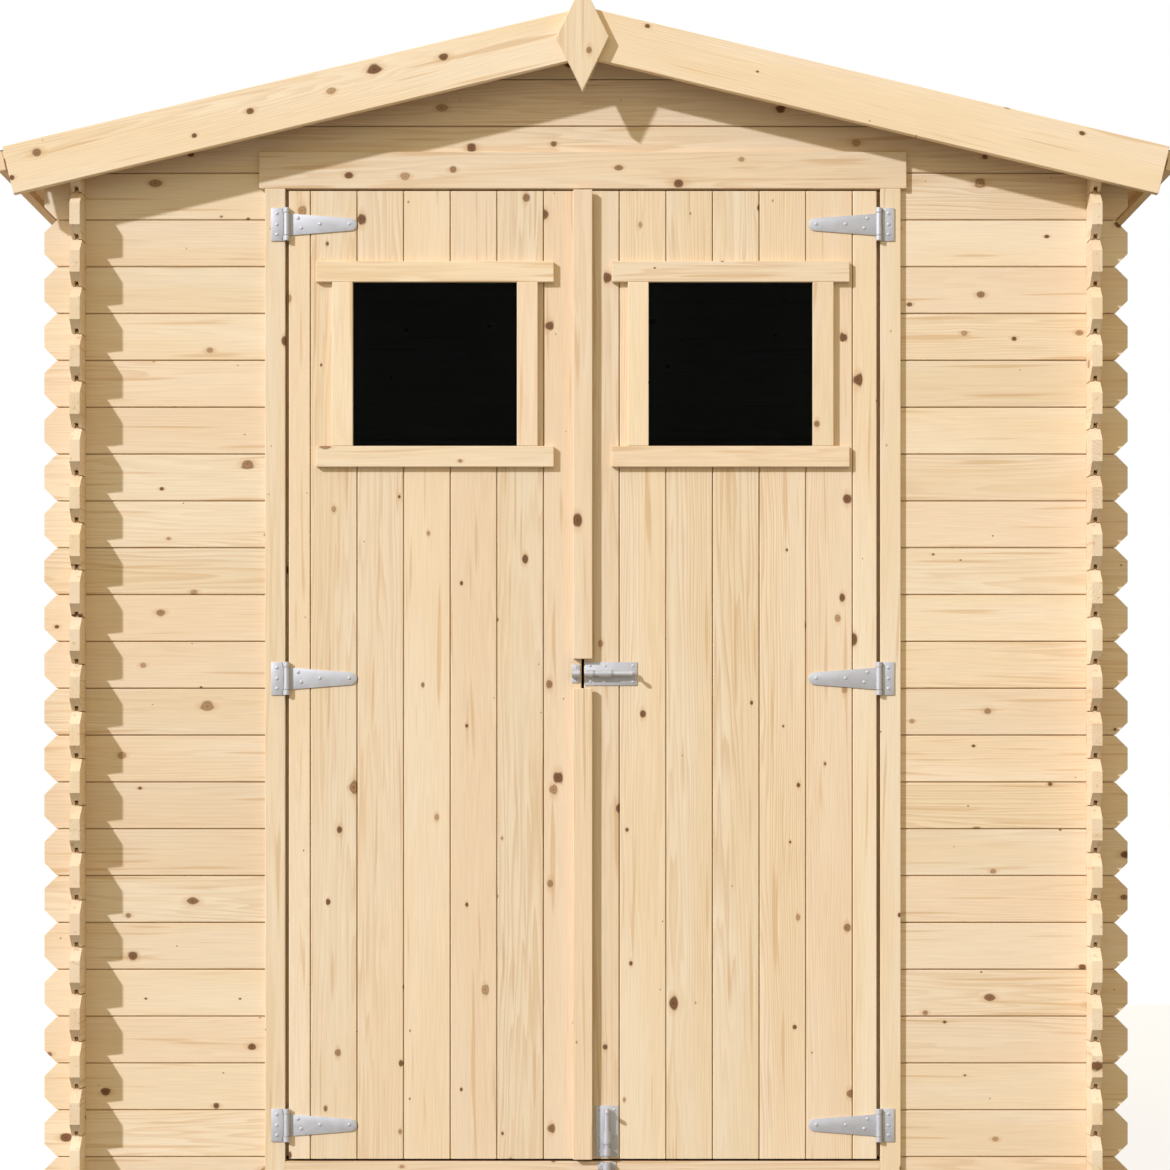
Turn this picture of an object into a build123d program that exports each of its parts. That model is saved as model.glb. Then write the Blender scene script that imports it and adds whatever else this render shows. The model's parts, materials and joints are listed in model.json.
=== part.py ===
from build123d import *
import math
import os

# Wooden garden shed of interlocking planed logs, with a low gable roof and two glazed leaves.
# Millimetres, +Z up, front towards -Y, origin at ground level under the middle of the shed.

# Logs and walls
log_cover = 88.0        # height that one log adds to a wall
log_courses = 22        # whole logs in the front wall below the gable
wall_t = 19.0           # thickness of a log
inner_w = 1880.0        # clear width between the side walls
inner_d = 1880.0        # clear depth between the front and back walls
log_end = 58.5          # what a log runs on past the wall that it crosses
end_chamfer = 24.0      # 45 degree chamfer on the end of a log
groove_w = 3.4          # width of the V between two logs
groove_d = 2.2          # depth of that V
fit_gap = 0.3           # play beside a notch, a pocket or a pane

# Roof
pitch = 13.45           # degrees
roof_board_t = 16.0
felt_t = 2.0
barge_rise = 1.5        # top edge of a barge board above the felt
barge_w = 90.0
barge_t = 16.0
barge_inset = 5.0       # barge end short of the roof boards, along the slope
eave_overhang = 63.5    # roof boards past the log ends, level
eave_t = 15.0
eave_drop = 20.0        # eave board below the roof boards
purlin_w = 45.0
purlin_h = 48.0
purlin_share = 0.55     # place of a side purlin between ridge and side wall
finial_w = 97.0
finial_h = 199.0
finial_t = 16.0
finial_above = 40.0     # the finial's top point above the barge boards' peak

# Floor
joist_w = 45.0
joist_h = 45.0
joist_count = 5
floor_t = 16.0
floor_gap = 5.0         # floor boards clear of the walls

# Door frame and its outside boards
door_shift = -6.0       # the doorway stands this far from the middle of the front
leaf_w = 548.5
leaf_t = 16.0
leaf_gap = 5.0          # between the leaves, and above and below them
side_gap = 7.0          # between a leaf and its jamb
post_w = 30.0
post_d = 45.0
head_t = 31.0
stop_w = 24.0           # lip of the frame that a leaf closes against
stop_gap = 5.0
trim_w = 38.0
trim_t = 10.0
header_h = 69.0
header_over = 11.0      # header board past the jamb boards
sill_drop = 7.0         # sill below the top of the bottom log

# Leaves
window_w = 307.0        # clear glass
window_h = 307.0
window_drop = 172.0     # top of a leaf to the clear glass
rebate = 12.0           # glass held behind the outside boards
glass_t = 4.0
window_trim_w = 39.0
window_trim_t = 11.0
window_trim_over = 30.0  # top and bottom boards past the side ones
bead_t = 14.0
ledge_h = 70.0
ledge_t = 18.0
ledge_inset = 30.0      # ledges short of the leaf's outer edge
ledge_short = 14.0      # ledges short of the leaf's meeting edge
brace_w = 60.0
batten_w = 36.0
batten_t = 15.0
batten_gap = 6.0        # back of the batten clear of the other leaf

# Hinges
hinge_inset = 63.0      # top and bottom hinges from the leaf's ends
hinge_mid_rise = 900.0  # middle hinge above the leaf's foot
sheet_t = 2.5
plate_h = 62.0
plate_reach = 29.5      # hinge plate from the pin
strap_h = 42.0
strap_tip_h = 23.5
strap_len = 131.0
knuckle_r = 5.5
pin_r = 2.5
pin_play = 0.1
knuckle_gap = 0.5
rolled_sides = 12       # flats round a rolled knuckle, a guide or a knob
saw_over = 1.0          # cuts start and end this far outside what they cut
same_height = 0.01      # heights closer than this are one

# Bolts
bolt_r = 4.8
bolt_play = 0.3
bolt_stroke = 28.0
bolt_plate_t = 2.0
bolt_lift = 8.0         # rod's centre above its plate
bolt_tail = 4.0         # rod's end short of its plate's end
guide_inset = 4.0       # first guide from the plate's end
guide_w = 12.0
barrel_w = 24.0         # second guide, before the knob
guide_wall = 2.2
knob_r = 4.0
knob_len = 20.0
knob_inset = 10.0       # knob from the plate's end when the bolt is drawn back
knob_gap = 6.0          # knob from the second guide when the bolt is shot
keeper_w = 15.0
keeper_foot = 34.0
keeper_play = 0.9
bolt_past = 3.6         # a shot bolt's tip beyond its keeper
main_bolt_len = 98.0
main_bolt_h = 44.0
main_bolt_rise = 909.0  # above the leaf's foot
main_bolt_edge = 1.5    # plate from the leaf's meeting edge
main_bolt_clear = 5.5   # batten cut away beside the plate
foot_bolt_len = 96.0
foot_bolt_w = 43.0
foot_bolt_x = 45.0      # from the middle of the doorway
foot_bolt_rise = 4.0    # plate above the leaf's foot

# Sizes that follow from those above
half_w = inner_w / 2 + wall_t
half_d = inner_d / 2 + wall_t
end_x = half_w + log_end
end_y = half_d + log_end
gable_z = log_courses * log_cover
side_top = gable_z + log_cover / 2
slope = math.radians(pitch)
ridge_z = side_top + math.tan(slope) * (half_w - wall_t / 2)
board_end = (end_x + eave_overhang) / math.cos(slope)
barge_top = roof_board_t + felt_t + barge_rise
neck_cut = log_cover / 4
front_y = -half_d
cut_y0 = front_y - saw_over
cut_y1 = front_y + wall_t + saw_over
face_y = front_y - trim_t
leaf_back = face_y + leaf_t
jamb_x = leaf_gap / 2 + leaf_w + side_gap
post_x = jamb_x + post_w
sill_z = log_cover - sill_drop
leaf_z = sill_z + leaf_gap
head_z = gable_z - head_t
leaf_top = head_z - leaf_gap
glass_top = leaf_top - window_drop
glass_z = glass_top - window_h
leaf_mid = (leaf_gap + leaf_w) / 2
pin_x = jamb_x - side_gap / 2
pin_y = face_y - knuckle_r
hinge_heights = [leaf_z + hinge_inset, leaf_z + hinge_mid_rise, leaf_top - hinge_inset]
bolt_z = leaf_z + main_bolt_rise
bore_r = bolt_r + bolt_play
rod_y = -bolt_plate_t - bolt_lift


def prism_xz(points, y0, y1):
    plane = Plane(origin=(0, y1, 0), x_dir=(1, 0, 0), z_dir=(0, -1, 0))
    return extrude(plane * make_face(Polyline(*points, close=True)), y1 - y0)


def prism_yz(points, x0, x1):
    plane = Plane(origin=(x0, 0, 0), x_dir=(0, 1, 0), z_dir=(1, 0, 0))
    return extrude(plane * make_face(Polyline(*points, close=True)), x1 - x0)


def prism_xy(points, z0, z1):
    return extrude(Plane.XY.offset(z0) * make_face(Polyline(*points, close=True)), z1 - z0)


def block(x0, x1, y0, y1, z0, z1):
    return Pos((x0 + x1) / 2, (y0 + y1) / 2, (z0 + z1) / 2) * Box(x1 - x0, y1 - y0, z1 - z0)


def rod_z(x, y, r, z0, z1):
    return Pos(x, y, (z0 + z1) / 2) * Cylinder(r, z1 - z0)


def rod_x(y, z, r, x0, x1):
    return Pos((x0 + x1) / 2, y, z) * Rot(0, 90, 0) * Cylinder(r, x1 - x0)


# A few-sided rod whose flats lie at r from its axis, from the plane's origin along its normal.
def rolled(plane, r, length):
    corner_r = r / math.cos(math.pi / rolled_sides)
    return extrude(plane * RegularPolygon(corner_r, rolled_sides, rotation=180 / rolled_sides), length)


def across(shape):
    return mirror(shape, about=Plane.YZ)


def to_back(shape):
    return mirror(shape, about=Plane.XZ)


def at_door(shape):
    return Pos(door_shift, 0, 0) * shape


def joints_between(first, z0, z1):
    heights = []
    z = first
    while z < z1 - same_height:
        if z > z0 + same_height:
            heights.append(z)
        z += log_cover
    return heights


# A wall's section across its thickness, flush inside, with a V outside at each joint between logs.
def wall_section(face, first, z0, z1):
    outer = [(face, z0)]
    for z in joints_between(first, z0, z1):
        outer += [(face, z - groove_w / 2), (face + groove_d, z), (face, z + groove_w / 2)]
    return outer + [(face, z1), (face + wall_t, z1), (face + wall_t, z0)]


# The toothed line of the log ends, from z0 up to z1, at the end that lies at +reach.
def toothed_end(reach, first, z0, z1):
    points = []
    z = first - log_cover
    while z < z1:
        for rise, back in ((0, end_chamfer), (end_chamfer, 0), (log_cover - end_chamfer, 0)):
            points.append((reach - back, z + rise))
        z += log_cover
    points.append((reach - end_chamfer, z))
    kept = [p for p in points if z0 + same_height < p[1] < z1 - same_height]
    return [(end_at(points, z0), z0)] + kept + [(end_at(points, z1), z1)]


def end_at(points, height):
    for (xa, za), (xb, zb) in zip(points, points[1:]):
        if za - same_height <= height <= zb:
            return xa + (xb - xa) * (height - za) / (zb - za)
    return points[-1][0]


# Slots for the necks of the crossing wall: each log loses a quarter of its height above and below.
def neck_slots(crossing, face, first, z0, z1):
    slots = []
    z = first
    while z < z1 + neck_cut:
        if z > z0 - neck_cut:
            slots.append(block(crossing - fit_gap, crossing + wall_t + fit_gap,
                               face - saw_over, face + wall_t + saw_over, z - neck_cut, z + neck_cut))
        z += log_cover
    return slots


def log_wall(x0, x1, outline, face, crossing, first, z0, z1):
    wall = prism_yz(wall_section(face, first, z0, z1), x0, x1)
    wall = wall & prism_xz(outline, face - saw_over, face + wall_t + saw_over)
    slots = neck_slots(crossing, face, first, z0, z1)
    return wall - slots - [across(s) for s in slots]


def both_ends(reach, first, z0, z1):
    right = toothed_end(reach, first, z0, z1)
    return right + [(-x, z) for x, z in reversed(right)]


def roof_line(x):
    return ridge_z - abs(x) * math.tan(slope)


# A point of the right-hand roof slope: u down the slope from the ridge, v square out of its underside.
def on_slope(u, v):
    return (u * math.cos(slope) + v * math.sin(slope), ridge_z - u * math.sin(slope) + v * math.cos(slope))


def at_ridge(v):
    return (0, ridge_z + v / math.cos(slope))


def slope_slab(u_end, v0, v1, y0, y1):
    points = [at_ridge(v0), on_slope(u_end, v0), on_slope(u_end, v1), at_ridge(v1)]
    return prism_xz(points, y0, y1)


def purlin_section(x, play=0.0):
    x0 = x - purlin_w / 2 - play
    x1 = x + purlin_w / 2 + play
    foot = roof_line(x) - purlin_h
    top = [(x1, roof_line(x1))]
    if x0 < 0 < x1:
        top.append((0, ridge_z))
    top.append((x0, roof_line(x0)))
    return [(x0, foot), (x1, foot)] + top


purlin_x = purlin_share * half_w
purlin_places = [-purlin_x, 0, purlin_x]


def purlin_pockets(y0, y1):
    return [prism_xz(purlin_section(x, fit_gap), y0, y1) for x in purlin_places]


def gable_outline(z0):
    right = [p for p in toothed_end(end_x, 0, z0, gable_z + log_cover) if p[1] < roof_line(end_x)]
    right.append((end_x, roof_line(end_x)))
    return right + [(0, ridge_z)] + [(-x, z) for x, z in reversed(right)]


def make_front_walls():
    bottom = log_wall(-end_x, end_x, both_ends(end_x, 0, 0, log_cover),
                      front_y, half_w - wall_t, 0, 0, log_cover)
    bottom -= at_door(block(-jamb_x, jamb_x, cut_y0, cut_y1, sill_z, log_cover + saw_over))
    beside = log_wall(-end_x, end_x, both_ends(end_x, 0, log_cover, gable_z),
                      front_y, half_w - wall_t, 0, log_cover, gable_z)
    doorway = at_door(block(-post_x, post_x, cut_y0, cut_y1, log_cover - saw_over, gable_z + saw_over))
    left, right = (beside - doorway).solids().sort_by(Axis.X)
    gable = log_wall(-end_x, end_x, gable_outline(gable_z), front_y, half_w - wall_t, 0, gable_z, ridge_z)
    gable -= purlin_pockets(cut_y0, cut_y1)
    return {
        "front_bottom_log": bottom,
        "front_wall_left": left,
        "front_wall_right": right,
        "front_gable": gable,
    }


def make_back_wall():
    wall = log_wall(-end_x, end_x, gable_outline(0), front_y, half_w - wall_t, 0, 0, ridge_z)
    wall -= purlin_pockets(cut_y0, cut_y1)
    return {"back_wall": to_back(wall)}


# The side walls start with half a log, so that their logs stand between those of the front and back.
def make_side_walls():
    half_log = log_cover / 2
    wall = log_wall(-end_y, end_y, both_ends(end_y, half_log, 0, side_top + half_log),
                    -half_w, half_d - wall_t, half_log, 0, side_top + half_log)
    left = Rot(0, 0, -90) * wall
    cut_x = half_w + saw_over
    cut_top = ridge_z + half_w
    above_roof = [(-cut_x, roof_line(cut_x)), (0, ridge_z), (0, cut_top), (-cut_x, cut_top)]
    roof_cut = prism_xz(above_roof, -end_y - saw_over, end_y + saw_over)
    left -= roof_cut
    return {"left_wall": left, "right_wall": across(left)}


def make_roof():
    nodes = {}
    eave_end = board_end + eave_t
    boards = slope_slab(board_end, 0, roof_board_t, -end_y, end_y)
    felt = slope_slab(eave_end, roof_board_t, roof_board_t + felt_t, -end_y, end_y)
    eave = prism_xz([on_slope(board_end, -eave_drop), on_slope(eave_end, -eave_drop),
                     on_slope(eave_end, roof_board_t), on_slope(board_end, roof_board_t)], -end_y, end_y)
    barge = slope_slab(board_end - barge_inset, barge_top - barge_w, barge_top, -end_y - barge_t, -end_y)
    peak = at_ridge(barge_top)[1]
    middle = peak + finial_above - finial_h / 2
    finial = at_door(prism_xz([(0, middle - finial_h / 2), (finial_w / 2, middle), (0, middle + finial_h / 2),
                               (-finial_w / 2, middle)], -end_y - barge_t - finial_t, -end_y - barge_t))
    for name, shape in (("roof_boards", boards), ("roof_felt", felt)):
        nodes[name + "_right"] = shape
        nodes[name + "_left"] = across(shape)
    nodes["right_eave_board"] = eave
    nodes["left_eave_board"] = across(eave)
    nodes["front_barge_right"] = barge
    nodes["front_barge_left"] = across(barge)
    nodes["back_barge_right"] = to_back(barge)
    nodes["back_barge_left"] = to_back(across(barge))
    nodes["front_finial"] = finial
    nodes["back_finial"] = to_back(finial)
    nodes["purlins"] = Compound([prism_xz(purlin_section(x), -end_y, end_y) for x in purlin_places])
    return nodes


def make_floor():
    reach_x = inner_w / 2 - floor_gap
    reach_y = inner_d / 2 - floor_gap
    pitch_x = (2 * reach_x - joist_w) / (joist_count - 1)
    joists = []
    joist_y = inner_d / 2 - fit_gap
    for i in range(joist_count):
        x = -reach_x + i * pitch_x
        joists.append(block(x, x + joist_w, -joist_y, joist_y, 0, joist_h))
    boards = block(-reach_x, reach_x, -reach_y, reach_y, joist_h, joist_h + floor_t)
    return {"floor_joists": Compound(joists), "floor_boards": boards}


def make_door_frame():
    stop_y = leaf_back + stop_gap
    back_y = front_y + post_d
    post = prism_xy([(jamb_x, front_y), (post_x, front_y), (post_x, back_y), (jamb_x - stop_w, back_y),
                     (jamb_x - stop_w, stop_y), (jamb_x, stop_y)], log_cover, head_z)
    head = block(-post_x, post_x, front_y, back_y, head_z, gable_z)
    stop_x = jamb_x - stop_w - fit_gap
    head += block(-stop_x, stop_x, stop_y, back_y, head_z - stop_w, head_z)
    jamb_board = block(jamb_x, jamb_x + trim_w, face_y, front_y, 0, head_z)
    header_x = jamb_x + trim_w + header_over
    return {
        "door_posts": at_door(Compound([post, across(post)])),
        "door_head": at_door(head),
        "right_jamb_board": at_door(jamb_board),
        "left_jamb_board": at_door(across(jamb_board)),
        "door_header_board": at_door(block(-header_x, header_x, face_y, front_y, head_z, head_z + header_h)),
        "door_sill_board": at_door(block(-jamb_x, jamb_x, face_y, front_y, 0, sill_z)),
    }


# The right-hand leaf, in the doorway's own frame.
def make_leaf():
    x0 = leaf_gap / 2
    leaf = block(x0, x0 + leaf_w, face_y, leaf_back, leaf_z, leaf_top)
    hole_w = window_w / 2 + rebate
    hole_z0 = glass_z - rebate
    hole_z1 = glass_top + rebate
    leaf -= block(leaf_mid - hole_w, leaf_mid + hole_w, face_y - saw_over, leaf_back + saw_over,
                  hole_z0, hole_z1)
    return leaf


# The boards round the glass: the top and bottom ones run on past the side ones.
def window_frame(y0, y1):
    side = window_w / 2 + window_trim_w
    ends = side + window_trim_over
    frame = block(leaf_mid - side, leaf_mid + side, y0, y1, glass_z, glass_top)
    frame += block(leaf_mid - ends, leaf_mid + ends, y0, y1, glass_z - window_trim_w, glass_z)
    frame += block(leaf_mid - ends, leaf_mid + ends, y0, y1, glass_top, glass_top + window_trim_w)
    return frame - block(leaf_mid - window_w / 2, leaf_mid + window_w / 2, y0 - saw_over, y1 + saw_over,
                         glass_z, glass_top)


def make_window():
    pane_x = window_w / 2 + rebate - fit_gap
    glass = block(leaf_mid - pane_x, leaf_mid + pane_x, face_y + fit_gap, face_y + fit_gap + glass_t,
                  glass_z - rebate + fit_gap, glass_top + rebate - fit_gap)
    boards = window_frame(face_y - window_trim_t, face_y)
    bead_y = face_y + 2 * fit_gap + glass_t
    hole = window_w / 2 + rebate
    bead = block(leaf_mid - hole + fit_gap, leaf_mid + hole - fit_gap, bead_y, bead_y + bead_t,
                 glass_z - rebate + fit_gap, glass_top + rebate - fit_gap)
    bead -= block(leaf_mid - window_w / 2, leaf_mid + window_w / 2,
                  bead_y - saw_over, bead_y + bead_t + saw_over, glass_z, glass_top)
    return glass, Compound([boards, bead])


# Inside the leaf, a ledge stands behind each hinge, and a brace rises from the lowest one at the jamb.
def make_ledges():
    x0 = leaf_gap / 2 + ledge_short
    x1 = leaf_gap / 2 + leaf_w - ledge_inset
    y0 = leaf_back
    y1 = leaf_back + ledge_t
    pieces = [block(x0, x1, y0, y1, z - ledge_h / 2, z + ledge_h / 2) for z in hinge_heights]
    z0 = hinge_heights[0] + ledge_h / 2 + fit_gap
    z1 = hinge_heights[1] - ledge_h / 2 - fit_gap
    pieces.append(prism_xz([(x1 - brace_w, z0), (x1, z0), (x0 + brace_w, z1), (x0, z1)], y0, y1))
    return Compound(pieces)


def make_meeting_batten():
    wide = batten_w / 2
    gap = leaf_gap / 2
    points = [(-wide, face_y), (-wide, face_y - batten_t), (wide, face_y - batten_t),
              (wide, face_y - batten_gap), (-gap, face_y - batten_gap), (-gap, face_y)]
    batten = prism_xy(points, leaf_z, leaf_top)
    cut = main_bolt_h / 2 + main_bolt_clear
    return batten - block(-wide - saw_over, wide + saw_over, face_y - batten_t - saw_over, face_y + saw_over,
                          bolt_z - cut, bolt_z + cut)


# One T-hinge on the right-hand jamb: a plate with two knuckles and the pin, and the strap between them.
def make_hinge(z):
    half = plate_h / 2
    inner = strap_h / 2
    sheet_y = face_y - sheet_t
    plate = block(pin_x, pin_x + plate_reach, sheet_y, face_y, z - half, z + half)
    room = inner + knuckle_gap
    plate -= block(pin_x - saw_over, pin_x + knuckle_r + 2 * knuckle_gap,
                   sheet_y - saw_over, face_y + saw_over, z - room, z + room)
    for z0 in (z - half, z + room):
        plate += rolled(Plane((pin_x, pin_y, z0)), knuckle_r, half - room)
    plate += rod_z(pin_x, pin_y, pin_r, z - half, z + half)
    tip = pin_x - strap_len
    round_r = strap_tip_h / 2
    taper = (inner - round_r) / (strap_len - round_r)
    strap = prism_xz([(pin_x, z - inner), (pin_x, z + inner), (tip + round_r, z + round_r),
                      (tip + round_r, z - round_r)], sheet_y, face_y)
    strap += Pos(tip + round_r, face_y - sheet_t / 2, z) * Rot(90, 0, 0) * Cylinder(round_r, sheet_t)
    strap += rolled(Plane((pin_x, pin_y, z - inner)), knuckle_r, strap_h)
    strap -= rod_z(pin_x, pin_y, pin_r + pin_play, z - inner - saw_over, z + inner + saw_over)
    return plate, strap


# Bolts are made lying along X: the drawn-back tip at x = 0 shoots towards -X, the plate's back is at y = 0.
def bore_x(r, x0, x1):
    return rolled(Plane((x0, rod_y, 0), x_dir=(0, 1, 0), z_dir=(1, 0, 0)), r, x1 - x0)


def guide_loop(x0, x1):
    wall = bore_r + guide_wall
    return bore_x(wall, x0, x1) + block(x0, x1, rod_y, -bolt_plate_t, -wall, wall)


def make_bolt(length, width):
    knob_x = length - knob_inset
    barrel_end = knob_x - bolt_stroke - knob_r - knob_gap
    plate = block(0, length, -bolt_plate_t, 0, -width / 2, width / 2)
    plate += guide_loop(guide_inset, guide_inset + guide_w)
    plate += guide_loop(barrel_end - barrel_w, barrel_end)
    plate -= bore_x(bore_r, -saw_over, length + saw_over)
    rod = rod_x(rod_y, 0, bolt_r, 0, length - bolt_tail)
    rod += rolled(Plane((knob_x, rod_y, 0), x_dir=(1, 0, 0), z_dir=(0, -1, 0)), knob_r, knob_len)
    far = bolt_past - bolt_stroke
    keeper = guide_loop(far, far + keeper_w)
    keeper += block(far, far + keeper_w, -bolt_plate_t, 0, -keeper_foot / 2, keeper_foot / 2)
    keeper -= bore_x(bolt_r + keeper_play, far - saw_over, far + keeper_w + saw_over)
    return plate, rod, keeper


def make_main_bolt():
    place = Pos(leaf_gap / 2 + main_bolt_edge, face_y, bolt_z)
    return [place * shape for shape in make_bolt(main_bolt_len, main_bolt_h)]


def make_foot_bolt():
    place = Pos(foot_bolt_x, face_y, leaf_z + foot_bolt_rise) * Rot(0, -90, 0)
    return [place * shape for shape in make_bolt(foot_bolt_len, foot_bolt_w)]


def make_doors():
    leaf = make_leaf()
    glass, boards = make_window()
    ledges = make_ledges()
    hinges = [make_hinge(z) for z in hinge_heights]
    plates = [plate for plate, strap in hinges]
    straps = Compound([strap for plate, strap in hinges])
    bolt_plate, bolt_rod, bolt_keeper = make_main_bolt()
    foot_plate, foot_rod, foot_keeper = make_foot_bolt()
    nodes = {}
    for name, shape in (("door_leaf", leaf), ("window_glass", glass), ("window_boards", boards),
                        ("door_ledges", ledges), ("hinge_straps", straps)):
        nodes["right_" + name] = at_door(shape)
        nodes["left_" + name] = at_door(across(shape))
    nodes["hinge_plates"] = at_door(Compound(plates + [across(p) for p in plates]))
    nodes["meeting_batten"] = at_door(make_meeting_batten())
    nodes["bolt_plates"] = at_door(Compound([bolt_plate, foot_plate]))
    nodes["main_bolt_rod"] = at_door(bolt_rod)
    nodes["main_bolt_keeper"] = at_door(bolt_keeper)
    nodes["foot_bolt_rod"] = at_door(foot_rod)
    nodes["foot_bolt_keeper"] = at_door(foot_keeper)
    return nodes


nodes = {}
nodes.update(make_front_walls())
nodes.update(make_back_wall())
nodes.update(make_side_walls())
nodes.update(make_roof())
nodes.update(make_floor())
nodes.update(make_door_frame())
nodes.update(make_doors())

os.makedirs("parts", exist_ok=True)
for name, shape in nodes.items():
    export_step(shape, "parts/" + name + ".step")
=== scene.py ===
import json
import math
import random

import bmesh
import bpy
import numpy as np
from bpy.props import FloatProperty, FloatVectorProperty, IntProperty, PointerProperty
from mathutils import Matrix, Vector


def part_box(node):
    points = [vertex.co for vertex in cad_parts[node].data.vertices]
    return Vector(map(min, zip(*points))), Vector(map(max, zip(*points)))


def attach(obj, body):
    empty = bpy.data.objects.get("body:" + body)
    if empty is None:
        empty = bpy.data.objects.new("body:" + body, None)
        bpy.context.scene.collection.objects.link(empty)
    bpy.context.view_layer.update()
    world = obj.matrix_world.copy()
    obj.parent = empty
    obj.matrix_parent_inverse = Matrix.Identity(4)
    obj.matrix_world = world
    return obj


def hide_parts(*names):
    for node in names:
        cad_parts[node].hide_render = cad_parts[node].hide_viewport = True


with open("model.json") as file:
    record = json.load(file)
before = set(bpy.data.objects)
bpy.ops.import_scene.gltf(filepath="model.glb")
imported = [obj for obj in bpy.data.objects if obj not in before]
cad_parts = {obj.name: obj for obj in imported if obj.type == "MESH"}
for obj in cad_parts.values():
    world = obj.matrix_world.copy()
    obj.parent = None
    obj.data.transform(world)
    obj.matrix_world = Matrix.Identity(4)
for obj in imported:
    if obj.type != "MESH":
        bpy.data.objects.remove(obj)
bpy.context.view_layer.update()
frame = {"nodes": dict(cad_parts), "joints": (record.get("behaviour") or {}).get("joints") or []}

bl_info = {
    "name": "Wooden garden shed",
    "version": (1, 0, 0),
    "blender": (4, 5, 0),
    "location": "3D View > Sidebar > Shed",
    "description": "Dresses a small log shed with logs, boards, hinges and bolts",
    "category": "Object",
}

MM = 0.001
X, Y, Z = Vector((1, 0, 0)), Vector((0, 1, 0)), Vector((0, 0, 1))
PLAY = 0.3 * MM     # room round what goes into a notch
PAST = 10 * MM      # how far a cut starts outside the wood
FAR = 0.1           # how far the window's cut through a leaf reaches either way
APART = 0.1         # heights closer than this belong to one hinge
OPEN = 1.0          # a cut this high is open at the top
MIDDLE = 0.1        # half the width in which only the ridge purlin lies


def srgb(red, green, blue):
    """A colour given as 0 to 255 display values, in linear light."""
    return tuple(((c / 255 + 0.055) / 1.055) ** 2.4 if c > 10 else c / 255 / 12.92
                 for c in (red, green, blue))


def levels(node, axis):
    """The distinct places along an axis of a node's corners."""
    return sorted({round(v.co[axis], 5) for v in frame["nodes"][node].data.vertices})


# Places that the frame gives
log_low, log_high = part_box("front_bottom_log")
roof_low, roof_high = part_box("roof_boards_right")
side_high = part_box("right_wall")[1]
sill_low, sill_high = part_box("door_sill_board")
COVER = log_high.z
WALL_T = log_high.y - log_low.y
FRONT_Y = log_low.y
END_X = log_high.x
SIDE_X = side_high.x
END_Y = side_high.y
FACE_Y = sill_low.y
COURSES = round(levels("front_wall_left", 2)[-1] / COVER)


# Settings

def size(name, description, value):
    """A length in millimetres."""
    return FloatProperty(name=name, description=description, default=value * MM, unit="LENGTH")


def tint(name, description, *display):
    """A colour given as display values."""
    return FloatVectorProperty(name=name, description=description, default=srgb(*display), subtype="COLOR")


class LogSizes(bpy.types.PropertyGroup):
    """Sizes of the logs and boards"""
    gap: size("Gap", "Open joint between two logs", 1.8)
    vee: size("V height", "Height of the V on a log's outer edge", 1.2)
    vee_depth: size("V depth", "Depth of that V", 1.6)
    back_vee: size("Inner V", "Chamfer on a log's inner edge", 0.8)
    tongue: size("Tongue", "Thickness of a log's tongue", 6.6)
    tongue_rise: size("Tongue height", "Height of that tongue", 8)
    chamfer: size("End chamfer", "Chamfer on a log's ends", 24)
    soft: size("Eased edge", "Rounding of a board's edges", 1.2)
    board: size("Board cover", "Cover of a roof or floor board", 88)
    board_vee: size("Board's inner V", "Chamfer on a board's hidden edge", 0.5)
    plank_vee: size("Plank's inner V", "Chamfer on a leaf plank's inner edge", 0.6)
    board_tongue: size("Board tongue", "Thickness of a board's tongue", 4)
    board_rise: size("Board tongue height", "Height of that tongue", 5)


class RoofSizes(bpy.types.PropertyGroup):
    """Sizes of the roof"""
    pitch: FloatProperty(name="Pitch", description="Slope of the roof", default=math.radians(13.45),
                         unit="ROTATION")
    felt_strip: size("Felt strip", "Height of a strip of felt up the slope, at most", 400)
    felt_t: size("Felt thickness", "Thickness of one strip", 1.2)
    lap: size("Lap", "How far a strip laps over the one below", 60)
    nails: IntProperty(name="Nails", description="Clout nails in each row", default=26)
    nail_r: size("Nail", "Radius of a nail's head", 4)
    nail_up: size("Nail row", "Nails above the strip's lower edge", 18)
    nail_in: size("Nail end", "First and last nail from the strip's ends", 20)


class DoorSizes(bpy.types.PropertyGroup):
    """Sizes of the leaves and their screws"""
    plank: size("Plank cover", "Cover of a leaf's plank", 87.4)
    left_first: size("Left leaf's first plank", "Width of its outer plank", 40.5)
    right_first: size("Right leaf's first plank", "Width of its inner plank", 66.1)
    screw_r: size("Screw", "Radius of a hinge screw's head", 3.4)
    bolt_screw_r: size("Bolt screw", "Radius of a bolt screw's head", 2.72)
    keeper_screw_r: size("Keeper screw", "Radius of a keeper screw's head", 2.176)


class HingeSizes(bpy.types.PropertyGroup):
    """Sizes of the hinges"""
    sheet: size("Sheet", "Thickness of the straps and plates", 2.5)
    gap: size("Knuckle gap", "Room between two knuckles", 0.5)
    pin_r: size("Pin", "Radius of the pin", 2.5)
    tip_r: size("Strap tip", "Radius of a strap's rounded tip", 11.75)
    screw_x: size("Plate screws", "Screws in a plate from the pin", 18.5)


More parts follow.
